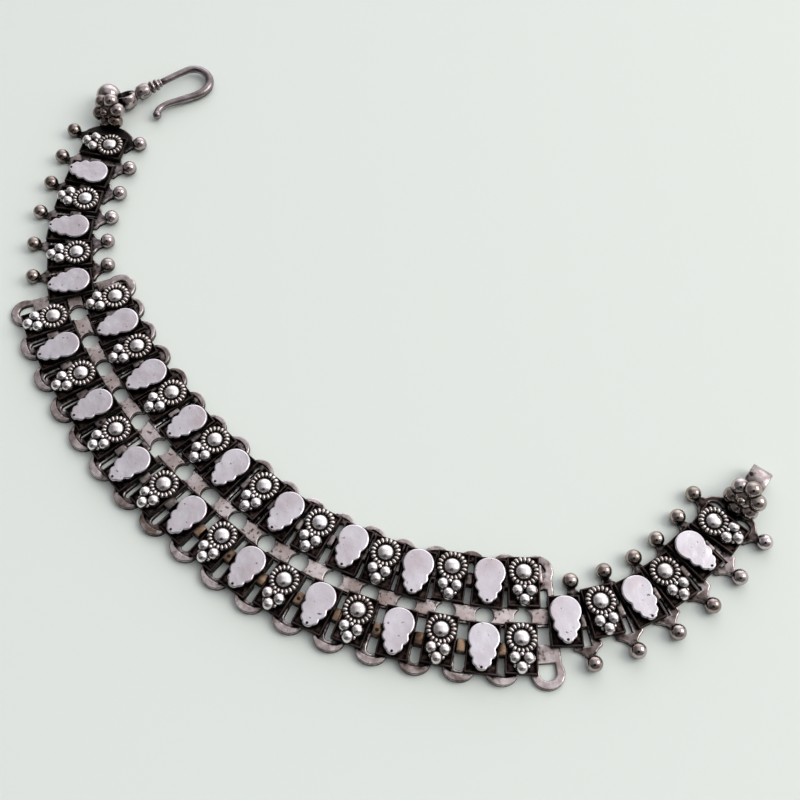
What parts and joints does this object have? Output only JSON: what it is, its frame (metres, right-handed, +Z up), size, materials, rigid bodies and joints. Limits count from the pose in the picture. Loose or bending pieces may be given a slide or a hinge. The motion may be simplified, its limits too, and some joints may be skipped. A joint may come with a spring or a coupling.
{
  "type": "strap bracelet",
  "caption": "Articulated silver strap bracelet of pierced cross links and small boxes with leaf plates and beaded flowers, laid open, with a hook and an eye.",
  "frame": {"origin": "middle of the bounding box in X and Y, at the underside it rests on", "axes": "+Z up from the surface it lies on; +X along the laid-out bracelet's longest extent, towards the eye; +Y towards the hook"},
  "size_m": [0.127, 0.1198, 0.0047],
  "materials": {
    "polished_silver": "worn oxidised silver, raised faces polished, recesses dark",
    "oxidised_silver": "oxidised silver, dull, brown-black in the recesses"
  },
  "bodies": {
    "root": {"hook_side_flower_1": "polished_silver", "hook_side_flower_2": "polished_silver", "hook_side_flower_3": "polished_silver", "hook_side_leaf_1": "polished_silver", "hook_side_leaf_2": "polished_silver", "hook_side_leaf_3": "polished_silver", "inner_flower_1": "polished_silver", "inner_flower_2": "polished_silver", "inner_flower_3": "polished_silver", "inner_flower_4": "polished_silver", "inner_flower_5": "polished_silver", "inner_flower_6": "polished_silver", "inner_flower_7": "polished_silver", "inner_flower_8": "polished_silver", "inner_flower_9": "polished_silver", "inner_leaf_1": "polished_silver", "inner_leaf_2": "polished_silver", "inner_leaf_3": "polished_silver", "inner_leaf_4": "polished_silver", "inner_leaf_5": "polished_silver", "inner_leaf_6": "polished_silver", "inner_leaf_7": "polished_silver", "inner_leaf_8": "polished_silver", "outer_flower_1": "polished_silver", "outer_flower_2": "polished_silver", "outer_flower_3": "polished_silver", "outer_flower_4": "polished_silver", "outer_flower_5": "polished_silver", "outer_flower_6": "polished_silver", "outer_flower_7": "polished_silver", "outer_flower_8": "polished_silver", "outer_flower_9": "polished_silver", "outer_leaf_1": "polished_silver", "outer_leaf_2": "polished_silver", "outer_leaf_3": "polished_silver", "outer_leaf_4": "polished_silver", "outer_leaf_5": "polished_silver", "outer_leaf_6": "polished_silver", "outer_leaf_7": "polished_silver", "outer_leaf_8": "polished_silver", "eye_side_flower_1": "polished_silver", "eye_side_flower_2": "polished_silver", "eye_side_flower_3": "polished_silver", "eye_side_leaf_1": "polished_silver", "eye_side_leaf_2": "polished_silver", "eye_side_leaf_3": "polished_silver", "two_row_links_1": "oxidised_silver", "two_row_links_2": "oxidised_silver", "two_row_links_3": "oxidised_silver", "two_row_links_4": "oxidised_silver", "two_row_links_5": "oxidised_silver", "two_row_links_6": "oxidised_silver", "hook_side_links_1": "oxidised_silver", "hook_side_links_2": "oxidised_silver", "eye_side_links_1": "oxidised_silver", "eye_side_links_2": "oxidised_silver", "hook_bead": "oxidised_silver", "hook": "oxidised_silver", "eye_bead": "oxidised_silver"}
  },
  "joints": []
}
